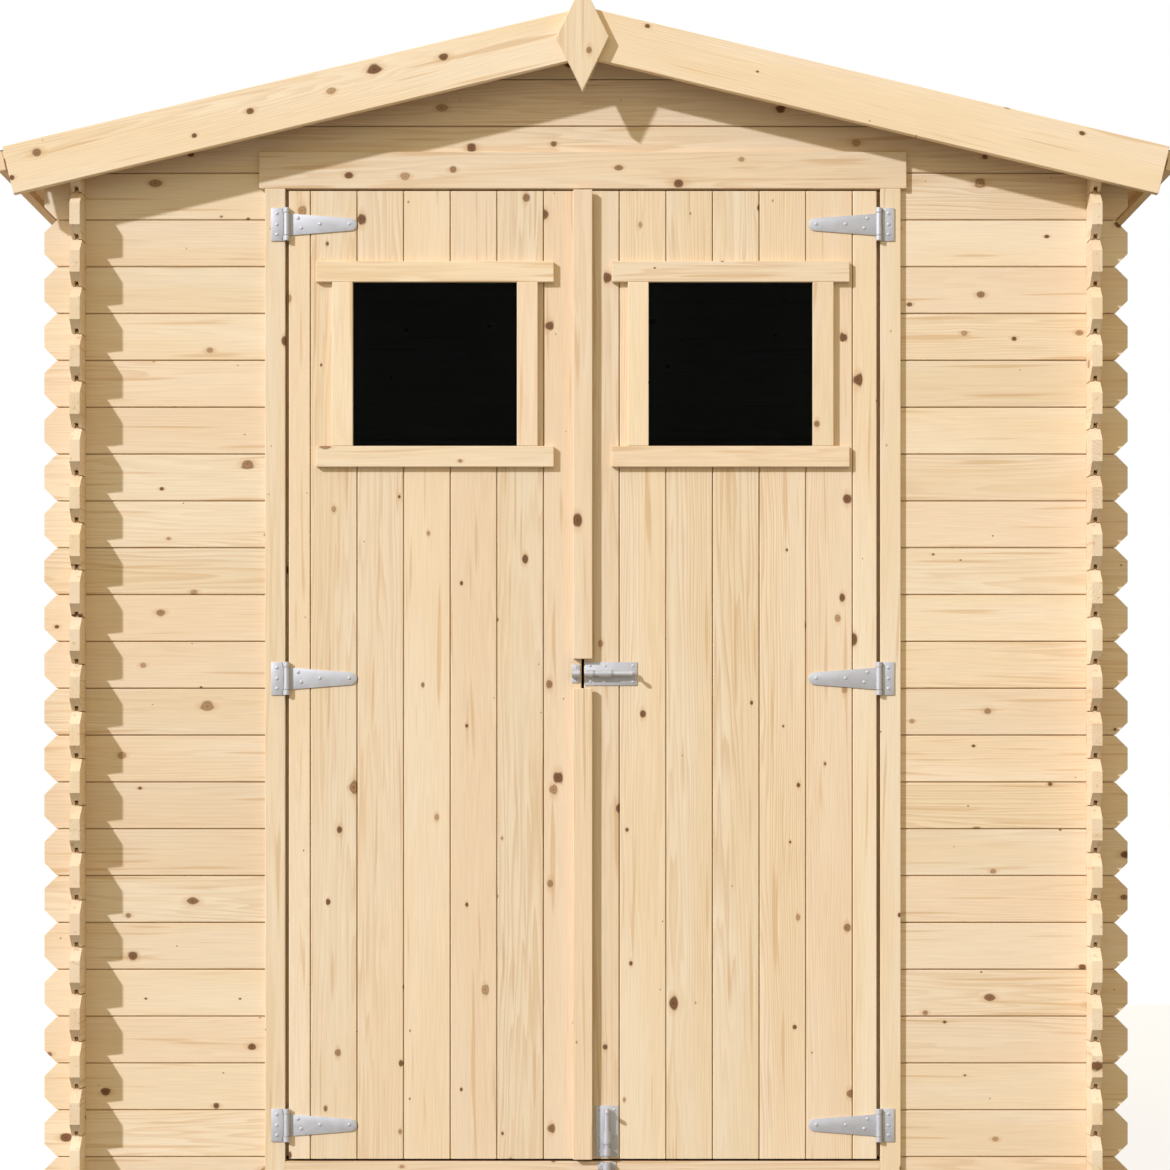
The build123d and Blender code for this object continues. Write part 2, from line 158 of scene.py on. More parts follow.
class BoltSizes(bpy.types.PropertyGroup):
    """Sizes of the bolts"""
    plate_t: size("Plate", "Thickness of the plates", 2)
    main_length: size("Slide bolt's plate", "Length of the slide bolt's plate", 98)
    main_width: size("Slide bolt's width", "Width of that plate", 44)
    foot_length: size("Foot bolt's plate", "Length of the foot bolt's plate", 96)
    foot_width: size("Foot bolt's width", "Width of that plate", 43)
    lift: size("Rod height", "Rod's axis in front of the leaf", 10)
    rod_r: size("Rod", "Radius of the rods", 4.8)
    guide_r: size("Guide", "Inner radius of a guide", 5.1)
    guide_t: size("Guide strip", "Thickness of a guide's strip", 2)
    keeper_r: size("Keeper", "Inner radius of a keeper", 5.7)
    keeper_t: size("Keeper strip", "Thickness of a keeper's strip", 1.6)
    keeper_width: size("Keeper width", "Length of a keeper along the rod", 15)
    keeper_foot: size("Keeper foot", "Keeper's feet from the rod's axis", 17)
    keeper_screw: size("Keeper screws", "Keeper's screws from the rod's axis", 12.2)
    screw_first: size("First screws", "First two screws from the plate's start", 10)
    screw_second: size("Second screws", "Next two screws from the plate's start", 38)
    screw_last: size("Last screws", "Last two screws from the plate's end", 8)
    screw_in: size("Screw margin", "Screws in from the plate's sides", 7)
    rod_short: size("Rod end", "Rod's end before the plate's end", 4)
    knob_in: size("Knob place", "Knob's axis before the plate's end", 10)


class WoodColours(bpy.types.PropertyGroup):
    """Colours of the wood"""
    pale: tint("Pale wood", "Colour between the growth rings", 235, 215, 184)
    honey: tint("Honey wood", "Colour of the warmer streaks", 232, 208, 171)
    pink: tint("Pink wood", "Colour that some boards lean to", 231, 204, 172)
    ring: tint("Late wood", "Colour of the growth rings", 203, 162, 111)
    live: tint("Live knot", "Colour of a pale knot", 184, 137, 88)
    knot: tint("Knot", "Colour of a dark knot", 124, 80, 45)
    bark: tint("Knot edge", "Colour of a knot's edge and heart", 78, 48, 26)
    ring_step: size("Ring step", "Distance between growth rings", 5.5)
    knot_step: size("Knot step", "Typical distance between knots", 125)
    knot_r: size("Knot radius", "Radius of the largest knots", 7.5)


class OtherColours(bpy.types.PropertyGroup):
    """Colours of the steel, the felt and the glass"""
    zinc: tint("Zinc", "Colour of the galvanised steel", 206, 205, 206)
    felt: tint("Felt", "Colour of the felt's grit", 74, 78, 80)
    # The panes' tint is partly the glass's own faint green and partly painted shade, darkened for the unlit
    # inside seen through them.
    glass: tint("Glass", "Tint of the panes", 112, 119, 117)


class StageSizes(bpy.types.PropertyGroup):
    """Camera and light"""
    camera: FloatVectorProperty(name="Camera", description="Place of the camera",
                                default=(0.015, -5.959, 0.811), subtype="TRANSLATION")
    lens: FloatProperty(name="Lens", description="Focal length in millimetres", default=81.9)
    shift: FloatVectorProperty(name="Shift", description="Sideways and upward shift",
                               default=(-0.0077, 0.1598), size=2)
    light: FloatVectorProperty(name="Light", description="Direction in which the light travels",
                               default=(1.2, 1.0, -0.87), subtype="DIRECTION")
    key: FloatProperty(name="Key light", description="Strength of the directed light", default=3.17)
    key_tint: FloatVectorProperty(name="Key tint", description="Colour of the directed light",
                                  default=(0.94, 1.0, 1.17), subtype="COLOR")
    fill: FloatVectorProperty(name="Fill light", description="Light from all round",
                              default=(0.8, 0.69, 0.45), subtype="COLOR")
    spread: FloatProperty(name="Spread", description="Apparent size of the directed light",
                          default=math.radians(2), unit="ROTATION")
    mirrored: FloatProperty(name="Mirrored light", description="What steel and glass mirror", default=0.8)
    floor: IntProperty(name="Floor", description="Side of the floor in metres", default=60)


# Meshes

def bar(bm, rows):
    """Adds a closed bar between two rows of points, and gives its faces."""
    a, b = ([bm.verts.new(point) for point in row] for row in rows)
    faces = [bm.faces.new(a), bm.faces.new(b[::-1])]
    for i in range(len(a)):
        j = (i + 1) % len(a)
        faces.append(bm.faces.new((a[i], a[j], b[j], b[i])))
    return faces


def prism(section, u0, u1):
    """A solid with a section given as (v, w) points, from u0 to u1 along its length."""
    bm = bmesh.new()
    bar(bm, [[(u, v, w) for v, w in section] for u in (u0, u1)])
    return bm


def saw(bm, point, normal):
    """Cuts away what lies beyond a plane, on the side that its normal points to."""
    cut = bmesh.ops.bisect_plane(bm, geom=bm.verts[:] + bm.edges[:] + bm.faces[:], plane_co=point,
                                 plane_no=normal, clear_outer=True, dist=1e-7)
    edges = [e for e in cut["geom_cut"] if isinstance(e, bmesh.types.BMEdge)]
    if edges:
        bmesh.ops.holes_fill(bm, edges=edges, sides=0)


def boxes_mesh(boxes):
    """One mesh of closed boxes, each given as (low, high) corners."""
    bm = bmesh.new()
    for low, high in boxes:
        sides = Vector(high) - Vector(low)
        place = Matrix.Translation((Vector(high) + Vector(low)) / 2) @ Matrix.Diagonal((*sides, 1))
        bmesh.ops.create_cube(bm, size=1, matrix=place)
    return bm


def to_mesh(bm, name):
    """Turns a solid into a mesh, and frees it."""
    mesh = bpy.data.meshes.new(name)
    bm.to_mesh(mesh)
    bm.free()
    return mesh


def linked(name, data):
    """A new object in the scene."""
    obj = bpy.data.objects.new(name, data)
    bpy.context.scene.collection.objects.link(obj)
    return obj


def carve(bm, boxes):
    """Cuts boxes out of a solid."""
    objects = []
    for part in (bm.copy(), boxes_mesh(boxes)):
        bmesh.ops.recalc_face_normals(part, faces=part.faces)
        objects.append(linked("part", to_mesh(part, "part")))
    body, cutter = objects
    cut = body.modifiers.new("cut", "BOOLEAN")
    cut.object = cutter
    cut.operation = "DIFFERENCE"
    cut.solver = "EXACT"
    shown = body.evaluated_get(bpy.context.evaluated_depsgraph_get())
    result = bpy.data.meshes.new_from_object(shown)
    bm.clear()
    bm.from_mesh(result)
    for obj in objects:
        mesh = obj.data
        bpy.data.objects.remove(obj)
        bpy.data.meshes.remove(mesh)
    bpy.data.meshes.remove(result)


def ease(bm, width, angle=30):
    """Rounds the edges between faces that meet at more than an angle in degrees."""
    sharp = [e for e in bm.edges if len(e.link_faces) == 2 and e.calc_face_angle(0) > math.radians(angle)]
    bmesh.ops.bevel(bm, geom=sharp, offset=width, segments=2, profile=0.5, affect="EDGES",
                    clamp_overlap=True)


class Timber:
    """Logs or boards that go into one mesh, each with its own grain."""

    def __init__(self, seed):
        self.random = random.Random(seed)
        self.bm = bmesh.new()
        for name in ("grain", "tone"):
            self.bm.verts.layers.float_vector.new(name)

    def add(self, board, origin, along, across, into):
        """Puts a board, made as (along, across, into) in metres, in its place, and draws its grain."""
        draw = self.random.uniform
        # Where the heart of the tree lay beside the board, how it leans, and the board's own colour
        heart_v = draw(-0.05, 0.05)
        heart_w = draw(0.012, 0.07) * self.random.choice((-1, 1))
        lean_v, lean_w = draw(-0.012, 0.012), draw(-0.02, 0.02)
        start = draw(0, 60)
        tone = Vector((draw(0, 1), draw(0, 1), draw(0, 1)))
        middle = sum(v.co.y for v in board.verts) / len(board.verts)
        grain, at_tone = (self.bm.verts.layers.float_vector[name] for name in ("grain", "tone"))
        copies = {}
        for vert in board.verts:
            u, v, w = vert.co
            new = self.bm.verts.new(Vector(origin) + u * along + v * across + w * into)
            new[grain] = Vector((u + start, v - middle + heart_v + lean_v * u, w + heart_w + lean_w * u))
            new[at_tone] = tone
            copies[vert] = new
        made = [self.bm.faces.new([copies[v] for v in face.verts]) for face in board.faces]
        bmesh.ops.recalc_face_normals(self.bm, faces=made)
        board.free()

    def finish(self, name, context, slot, nodes, body="root"):
        """Puts the boards in the scene as one piece, in the material of their slot."""
        place_piece(to_mesh(self.bm, name), context, slot, nodes, body)


def place_piece(mesh, context, slot, nodes, body="root"):
    """Puts a finished mesh in the scene on the body that it moves with."""
    mesh.materials.append(material(slot, context))
    piece = linked(mesh.name, mesh)
    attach(piece, body)
    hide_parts(*nodes)


def loose_parts(bm):
    """The separate solids of a mesh, as lists of faces."""
    seen = set()
    parts = []
    for first in bm.faces:
        if first in seen:
            continue
        seen.add(first)
        part = [first]
        for face in part:
            for other in (other for edge in face.edges for other in edge.link_faces):
                if other not in seen:
                    seen.add(other)
                    part.append(other)
        parts.append(part)
    return parts


def main_axes(points):
    """A solid's long, middle and short directions."""
    spread = np.array(points) - np.mean(points, axis=0)
    return [Vector(row) for row in np.linalg.svd(spread, full_matrices=False)[2]]


def dress(node, seed, context, slot, body="root"):
    """Repeats the plain boards of a node with eased edges, and a grain along each board."""
    source = bmesh.new()
    source.from_mesh(frame["nodes"][node].data)
    bmesh.ops.remove_doubles(source, verts=source.verts, dist=1e-5)
    bmesh.ops.dissolve_limit(source, angle_limit=math.radians(0.5), verts=source.verts, edges=source.edges)
    timber = Timber(seed)
    for part in loose_parts(source):
        corners = list(dict.fromkeys(v for face in part for v in face.verts))
        centre = sum((v.co for v in corners), Vector()) / len(corners)
        long, middle, short = main_axes([v.co[:] for v in corners])
        board = bmesh.new()
        copies = {}
        for vert in corners:
            at = vert.co - centre
            copies[vert] = board.verts.new((at.dot(long), at.dot(middle), at.dot(short)))
        for face in part:
            board.faces.new([copies[v] for v in face.verts])
        bmesh.ops.recalc_face_normals(board, faces=board.faces)
        ease(board, context.scene.shed_logs.soft)
        timber.add(board, centre, long, middle, short)
    source.free()
    timber.finish(node + "_wood", context, slot, [node], body)


# Materials

class Shader:
    """Adds nodes to a new material and links what they take."""

    def __init__(self, name):
        self.material = bpy.data.materials.new(name)
        self.material.use_nodes = True
        self.tree = self.material.node_tree
        self.surface = self.tree.nodes["Principled BSDF"]

    def put(self, socket, value):
        if isinstance(value, bpy.types.NodeSocket):
            self.tree.links.new(value, socket)
        else:
            socket.default_value = (*value, 1.0) if socket.type == "RGBA" else value

    def add(self, kind, takes=None, **settings):
        node = self.tree.nodes.new(kind)
        for name, value in settings.items():
            setattr(node, name, value)
        for socket, value in (takes or {}).items():
            self.put(node.inputs[socket], value)
        return node

    def math(self, operation, *values):
        return self.add("ShaderNodeMath", dict(enumerate(values)), operation=operation).outputs[0]

    def vector(self, operation, *values):
        node = self.add("ShaderNodeVectorMath", dict(enumerate(values)), operation=operation)
        return node.outputs["Value" if operation == "LENGTH" else "Vector"]

    def mix(self, share, low, high, blend="MIX"):
        node = self.add("ShaderNodeMix", data_type="RGBA", blend_type=blend)
        for socket, value in ((0, share), (6, low), (7, high)):
            self.put(node.inputs[socket], value)
        return node.outputs[2]

    def noise(self, where, stretch, detail=2.0, output=0):
        at = self.vector("MULTIPLY", where, stretch)
        return self.add("ShaderNodeTexNoise", {"Vector": at, "Scale": 1.0, "Detail": detail}).outputs[output]

    def fit(self, value, low, high, to_low=0.0, to_high=1.0):
        takes = {0: value, 1: low, 2: high, 3: to_low, 4: to_high}
        return self.add("ShaderNodeMapRange", takes, interpolation_type="SMOOTHSTEP").outputs[0]

    def place(self):
        return self.add("ShaderNodeTexCoord").outputs["Object"]

    def split(self, value):
        return self.add("ShaderNodeSeparateXYZ", {0: value}).outputs

    def join(self, x, y, z):
        return self.add("ShaderNodeCombineXYZ", {0: x, 1: y, 2: z}).outputs[0]

    def bump(self, height, distance, strength=1.0):
        takes = {"Height": height, "Distance": distance, "Strength": strength}
        self.put(self.surface.inputs["Normal"], self.add("ShaderNodeBump", takes).outputs[0])

    def sockets(self, **values):
        for name, value in values.items():
            self.put(self.surface.inputs[name.replace("_", " ")], value)
        return self.material


def knots(s, u, v, rough, colours):
    """Knots scattered along the boards: the distance from each heart, in radii, the way to it and a shade."""
    at = s.join(u, v, 0.0)
    cells = s.add("ShaderNodeTexVoronoi", {"Vector": at, "Scale": 1 / colours.knot_step, "Randomness": 1.0},
                  voronoi_dimensions="2D", feature="F1")
    chance, size, shade = s.split(cells.outputs["Color"])
    radius = s.math("MULTIPLY_ADD", s.math("POWER", size, 2.2), colours.knot_r, 0.9 * MM)
    radius = s.math("MULTIPLY", radius, s.fit(chance, 0.86, 0.87, 1.0, 0.01))
    along, across, _ = s.split(s.vector("SUBTRACT", at, cells.outputs["Position"]))
    reach = s.vector("LENGTH", s.join(s.math("MULTIPLY", along, 0.8), across, 0.0))
    ragged = s.math("MULTIPLY_ADD", rough, 1.0, 0.5)
    return s.math("MULTIPLY", s.math("DIVIDE", reach, radius), ragged), along, across, radius, shade


def wood(name, colours, brightness):
    """Planed softwood, whose rings follow each board's own grain and bend round its knots."""
    s = Shader(name)
    grain = s.add("ShaderNodeAttribute", attribute_name="grain").outputs["Vector"]
    tone = s.add("ShaderNodeAttribute", attribute_name="tone").outputs["Vector"]
    pinkness, lightness, figure = s.split(tone)
    u, v, _ = s.split(grain)
    clouds = s.noise(grain, (1.3, 11, 11), 2.0, 1)
    wander = s.vector("SUBTRACT", clouds, (0.5, 0.5, 0.5))
    _, streak, patch = s.split(clouds)
    resin = s.noise(grain, (4, 110, 110), 0.0)
    edge, along, across, radius, shade = knots(s, u, v, resin, colours)

    # Rings round a heart that wanders, swung aside by the knots
    far = s.math("DIVIDE", s.vector("LENGTH", s.join(s.math("MULTIPLY", along, 0.5), across, 0.0)), radius)
    pull = s.math("EXPONENT", s.math("MULTIPLY", s.math("MULTIPLY", far, far), -0.3))
    _, ring_v, ring_w = s.split(s.vector("MULTIPLY_ADD", wander, (0.03, 0.03, 0.03), grain))
    ring_v = s.math("SUBTRACT", ring_v, s.math("MULTIPLY", across, pull))
    spacing = s.fit(lightness, 0.0, 1.0, 0.8 / colours.ring_step, 1.7 / colours.ring_step)
    turns = s.math("MULTIPLY_ADD", s.vector("LENGTH", s.join(0.0, ring_v, ring_w)), spacing,
                   s.math("MULTIPLY", resin, 1.6))
    phase = s.math("FRACT", turns)
    late = s.math("MULTIPLY", s.fit(phase, 0.2, 0.88), s.fit(phase, 0.9, 1.0, 1.0, 0.0))

    # Colour: streaks, rings, resin, the board's own tone, then its knots
    fibre = s.noise(grain, (14, 620, 620), 0.0)
    base = s.mix(s.fit(streak, 0.38, 0.62), colours.pale, colours.honey)
    base = s.mix(s.math("MULTIPLY", s.fit(pinkness, 0.35, 1.0), 0.6), base, colours.pink)
    strength = s.math("MULTIPLY", s.fit(patch, 0.38, 0.62, 0.3, 1.0), s.fit(figure, 0.0, 1.0, 0.1, 0.42))
    base = s.mix(s.math("MULTIPLY", late, strength), base, colours.ring)
    base = s.mix(s.fit(resin, 0.68, 0.8, 0.0, 0.5), base, colours.ring)
    base = s.mix(s.fit(far, 0.6, 1.9, 0.45, 0.0), base, colours.ring)
    level = s.math("MULTIPLY", s.fit(lightness, 0.0, 1.0, 0.95 * brightness, 1.03 * brightness),
                   s.fit(fibre, 0.3, 0.7, 0.97, 1.03))
    base = s.mix(1.0, base, s.join(level, level, level), "MULTIPLY")
    turn = s.math("FRACT", s.math("MULTIPLY", edge, 2.6))
    core = s.mix(s.fit(shade, 0.1, 0.6), colours.live, colours.knot)
    core = s.mix(s.fit(turn, 0.2, 0.9, 0.0, 0.4), core, colours.bark)
    core = s.mix(s.fit(edge, 0.1, 0.4, 0.6, 0.0), core, colours.bark)
    core = s.mix(s.fit(edge, 0.62, 0.95, 0.0, 0.7), core, colours.bark)
    inside = s.math("MULTIPLY", s.fit(edge, 0.75, 1.3, 1.0, 0.0), s.fit(shade, 0.0, 0.6, 0.72, 0.97))
    base = s.mix(inside, base, core)
    s.bump(fibre, 0.12 * MM, 0.6)
    return s.sockets(Base_Color=base, Roughness=s.fit(fibre, 0.3, 0.7, 0.58, 0.72), Specular_IOR_Level=0.3)


def zinc(name, tint):
    """Galvanised steel with a faint spangle."""
    s = Shader(name)
    at = s.place()
    crystals = s.add("ShaderNodeTexVoronoi", {"Vector": at, "Scale": 260.0}).outputs["Color"]
    spangle = s.split(crystals)[0]
    dull = s.noise(at, (60, 60, 60), 3.0)
    low = tuple(c * 0.84 for c in tint)
    share = s.math("ADD", s.math("MULTIPLY", spangle, 0.3), s.math("MULTIPLY", dull, 0.7))
    base = s.mix(share, low, tint)
    rough = s.math("ADD", s.fit(dull, 0.3, 0.7, 0.46, 0.6), s.math("MULTIPLY", spangle, 0.06))
    s.bump(s.noise(at, (900, 900, 900), 2.0), 0.05 * MM, 0.5)
    return s.sockets(Base_Color=base, Roughness=rough, Metallic=0.45)


def grit(name, tint):
    """Roofing felt covered with mineral grit."""
    s = Shader(name)
    at = s.place()
    grains = s.add("ShaderNodeTexVoronoi", {"Vector": at, "Scale": 520.0})
    shade = s.split(grains.outputs["Color"])[0]
    cloud = s.noise(at, (7, 7, 7), 4.0)
    dark = tuple(c * 0.45 for c in tint)
    light = tuple(min(1.0, c * 1.9) for c in tint)
    base = s.mix(s.math("MULTIPLY", shade, s.fit(cloud, 0.2, 0.8, 0.6, 1.0)), dark, light)
    s.bump(s.math("SUBTRACT", 1.0, grains.outputs["Distance"]), 0.6 * MM, 0.8)
    return s.sockets(Base_Color=base, Roughness=s.fit(cloud, 0.3, 0.7, 0.86, 0.96), Specular_IOR_Level=0.2)


def pane(name, tint):
    """Clear glass with a faint film of dust. Its dark tint is partly the glass's own faint green and partly
    painted shade for the unlit inside seen through it.
    """
    s = Shader(name)
    at = s.place()
    film = s.noise(at, (3, 3, 3), 4.0)
    shadow = tuple(c * 0.9 for c in tint)
    base = s.mix(s.fit(film, 0.35, 0.65), tint, shadow)
    return s.sockets(Base_Color=base, Roughness=s.fit(film, 0.3, 0.7, 0.0, 0.02), Transmission_Weight=1.0,
                     IOR=1.13)


# The wood of each part, with its brightness
WOODS = {"log_wood": 1.0, "trim_wood": 1.02, "door_wood": 0.99, "frame_wood": 0.94, "board_wood": 0.93}


def material(slot, context):
    """A slot's finish, made when it is first asked for."""
    title = "shed_" + slot
    other = context.scene.shed_other
    if title in bpy.data.materials:
        return bpy.data.materials[title]
    if slot in WOODS:
        return wood(title, context.scene.shed_wood, WOODS[slot])
    make, tint = {"zinc_steel": (zinc, other.zinc), "roofing_felt": (grit, other.felt),
                  "window_glass": (pane, other.glass)}[slot]
    return make(title, tint)


# Logs

def tongued(v0, v1, t, vees, back_vee, tongue, rise, grooved=True, tongue_on=True):
    """The section of a log or board: V edges outside, chamfers inside, a tongue above, a groove below."""
    mid, half = t / 2, tongue / 2
    room = half + 0.5 * MM
    vee, vee_depth = vees
    points = [(v0, vee_depth), (v0 + vee, 0), (v1 - vee, 0), (v1, vee_depth)]
    if tongue_on:
        slim = half * 0.8       # the tongue narrows towards its tip
        points += [(v1, mid - half), (v1 + rise, mid - slim), (v1 + rise, mid + slim), (v1, mid + half)]
    points += [(v1, t - back_vee), (v1 - back_vee, t), (v0 + back_vee, t), (v0, t - back_vee)]
    if grooved:
        depth = rise + MM
        points += [(v0, mid + room), (v0 + depth, mid + room), (v0 + depth, mid - room), (v0, mid - room)]
    return points


def log(sizes, end, v0=0.0, v1=COVER, grooved=True, notches=(), start=None, stop=None):
    """A log along u with chamfered ends at -end and end, or sawn square at start or stop."""
    low = v0 + (sizes.gap / 2 if grooved else 0)
    section = tongued(low, v1 - sizes.gap / 2, WALL_T, (sizes.vee, sizes.vee_depth), sizes.back_vee,
                      sizes.tongue, sizes.tongue_rise, grooved)
    bm = prism(section, -end if start is None else start, end if stop is None else stop)
    for side, square in ((-1, start), (1, stop)):
        if square is None:
            for tip, up in ((COVER, 1), (0, -1)):
                saw(bm, ((end - sizes.chamfer) * side, tip, 0), (side, up, 0))
    if notches:
        carve(bm, notches)
    return bm


def crossing_notches(reach, low=True, high=True):
    """The notches, a quarter of the height above and below, where a wall crosses at reach."""
    quarter = COVER / 4
    found = []
    for side in (-1, 1):
        u0, u1 = sorted((side * (reach + PLAY), side * (reach - WALL_T - PLAY)))
        if low:
            found.append(((u0, -PAST, -PAST), (u1, quarter, WALL_T + PAST)))
        if high:
            found.append(((u0, COVER - quarter, -PAST), (u1, COVER + PAST, WALL_T + PAST)))
    return found


def roof_line(pitch):
    """The height of the roof boards' underside at the ridge, and their thickness."""
    thickness = (roof_high.z - roof_low.z - math.tan(pitch) * roof_high.x) / math.cos(pitch)
    return roof_high.z - thickness / math.cos(pitch), thickness


def purlin_boxes(z0):
    """Room for the purlins in a gable log that starts at height z0."""
    foot = levels("purlins", 2)[0]
    places = levels("purlins", 0)
    inner = [x for x in places if 1e-4 < abs(x) < MIDDLE]
    ridge_foot = min(v.co.z for v in frame["nodes"]["purlins"].data.vertices if abs(v.co.x) < MIDDLE)
    spans = [(places[0], places[1], foot), (places[-2], places[-1], foot), (inner[0], inner[-1], ridge_foot)]
    return [((a - PLAY, foot - z0 - PLAY, -PAST), (b + PLAY, OPEN, WALL_T + PAST)) for a, b, foot in spans]


def gable_log(sizes, pitch, course):
    z0 = course * COVER
    ridge, _ = roof_line(pitch)
    notches = crossing_notches(SIDE_X, True, False) if course == COURSES else []
    boxes = [b for b in purlin_boxes(z0) if b[0][1] < COVER]
    bm = log(sizes, END_X)
    for side in (-1, 1):
        saw(bm, (0, ridge - z0 - PLAY, 0), (side * math.sin(pitch), math.cos(pitch), 0))
    if notches + boxes:
        carve(bm, notches + boxes)
    return bm


class SHED_OT_front_walls(bpy.types.Operator):
    """Lays the front wall's logs beside and over the doorway"""
    bl_idname = "shed.front_walls"
    bl_label = "Front wall"

    def execute(self, context):
        sizes, roof = context.scene.shed_logs, context.scene.shed_roof
        notches = crossing_notches(SIDE_X)
        sill_room = ((sill_low.x, sill_high.z, -PAST), (sill_high.x, OPEN, WALL_T + PAST))
        self.lay(context, "front_sill_log", "front_bottom_log", 11, range(1),
                 lambda course: log(sizes, END_X, grooved=False, notches=notches + [sill_room]))
        for name, seed, side, limit in (("left", 12, -1, {"stop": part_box("front_wall_left")[1].x}),
                                        ("right", 13, 1, {"start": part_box("front_wall_right")[0].x})):
            near = [n for n in notches if n[0][0] * side > 0]
            self.lay(context, "front_logs_" + name, "front_wall_" + name, seed, range(1, COURSES),
                     lambda course: log(sizes, END_X, notches=near, **limit))
        top = int(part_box("front_gable")[1].z / COVER)
        self.lay(context, "front_gable_logs", "front_gable", 14, range(COURSES, top),
                 lambda course: gable_log(sizes, roof.pitch, course))
        return {"FINISHED"}

    def lay(self, context, name, node, seed, courses, make):
        timber = Timber(seed)
        for course in courses:
            timber.add(make(course), (0, FRONT_Y, course * COVER), X, Z, Y)
        timber.finish(name, context, "log_wood", [node])


class SHED_OT_back_wall(bpy.types.Operator):
    """Lays the back wall's logs up to the ridge"""
    bl_idname = "shed.back_wall"
    bl_label = "Back wall"

    def execute(self, context):
        sizes, roof = context.scene.shed_logs, context.scene.shed_roof
        timber = Timber(21)
        notches = crossing_notches(SIDE_X)
        for course in range(int(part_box("back_wall")[1].z / COVER)):
            if course < COURSES:
                board = log(sizes, END_X, grooved=course > 0, notches=notches)
            else:
                board = gable_log(sizes, roof.pitch, course)
            timber.add(board, (0, -FRONT_Y, course * COVER), X, Z, -Y)
        timber.finish("back_logs", context, "log_wood", ["back_wall"])
        return {"FINISHED"}


class SHED_OT_side_walls(bpy.types.Operator):
    """Lays the side walls' logs, which start with half a log"""
    bl_idname = "shed.side_walls"
    bl_label = "Side walls"

    def execute(self, context):
        sizes, pitch = context.scene.shed_logs, context.scene.shed_roof.pitch
        ridge, _ = roof_line(pitch)
        half = COVER / 2
        rise = 4 * MM       # the top log is made taller than the slope, and sawn down to it
        last = round((side_high.z - half) / COVER)
        notches, upper_notches = crossing_notches(-FRONT_Y), crossing_notches(-FRONT_Y, low=False)
        for name, seed, side in (("left", 31, -1), ("right", 32, 1)):
            timber = Timber(seed)
            for course in range(last + 1):
                z0 = course * COVER - half
                if course == 0:
                    board = log(sizes, END_Y, v0=half, grooved=False, notches=upper_notches)
                elif course < last:
                    board = log(sizes, END_Y, notches=notches)
                else:
                    board = log(sizes, END_Y, v1=COVER + rise, notches=notches)
                    saw(board, (0, ridge - z0 - SIDE_X * math.tan(pitch), 0),
                        (0, math.cos(pitch), -math.sin(pitch)))
                timber.add(board, (side * SIDE_X, 0, z0), Y, Z, -side * X)
            timber.finish(name + "_logs", context, "log_wood", [name + "_wall"])
        return {"FINISHED"}


# Roof, floor and trims

def laid_boards(timber, sizes, start, stop, t, u0, u1, origin, along, across, into, saws=()):
    """Tongued boards side by side from start to stop across, each from u0 to u1 along."""
    count = round((stop - start) / sizes.board)
    step = (stop - start) / count
    for i in range(count):
        v0 = start + i * step + sizes.gap / 2
        v1 = start + (i + 1) * step - sizes.gap / 2
        board = prism(tongued(v0, v1, t, (sizes.vee, sizes.vee), sizes.board_vee, sizes.board_tongue,
                              sizes.board_rise, i > 0, i < count - 1), u0, u1)
        for point, normal in saws:
            saw(board, point, normal)
        timber.add(board, origin, along, across, into)


# A nail's head, as (radius, height) in parts of its radius
NAIL = ((1, 0), (1, 0.075), (0.6, 0.175), (0, 0.2))


